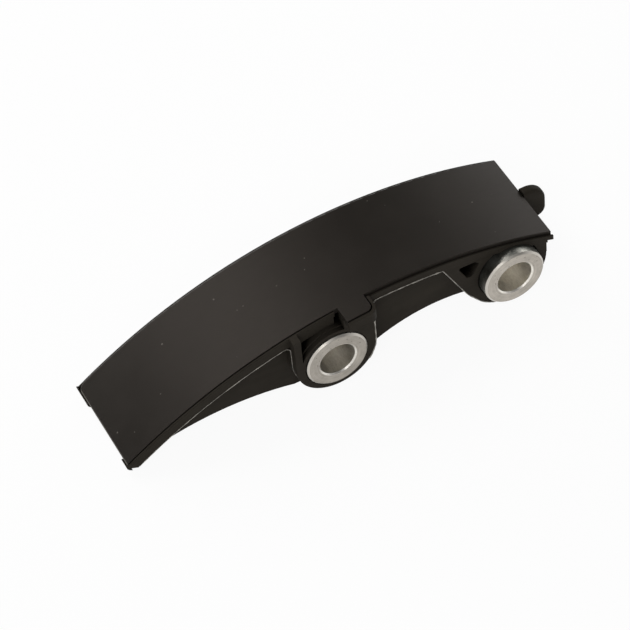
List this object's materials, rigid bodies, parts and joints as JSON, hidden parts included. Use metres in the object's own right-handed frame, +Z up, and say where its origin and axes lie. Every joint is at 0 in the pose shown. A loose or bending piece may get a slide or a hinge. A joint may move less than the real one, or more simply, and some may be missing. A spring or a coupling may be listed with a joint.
{
  "type": "timing chain guide",
  "caption": "Curved timing chain guide with a plastic slide lining on a ribbed moulded carrier and two metal bolt bushes.",
  "frame": {"origin": "on the axis of the middle bush, half way across the slide lining", "axes": "+X from the middle bush to the end bush, +Y along the bolt axes to the side that goes against the engine, +Z up to the face the chain runs on"},
  "size_m": [0.1058, 0.03, 0.0219],
  "materials": {
    "carrier_plastic": "satin moulded, fibre filled",
    "lining_plastic": "smooth satin",
    "bush_metal": "turned, matt"
  },
  "bodies": {
    "root": {"carrier": "carrier_plastic", "slide_lining": "lining_plastic", "middle_bush": "bush_metal", "end_bush": "bush_metal"}
  },
  "joints": []
}
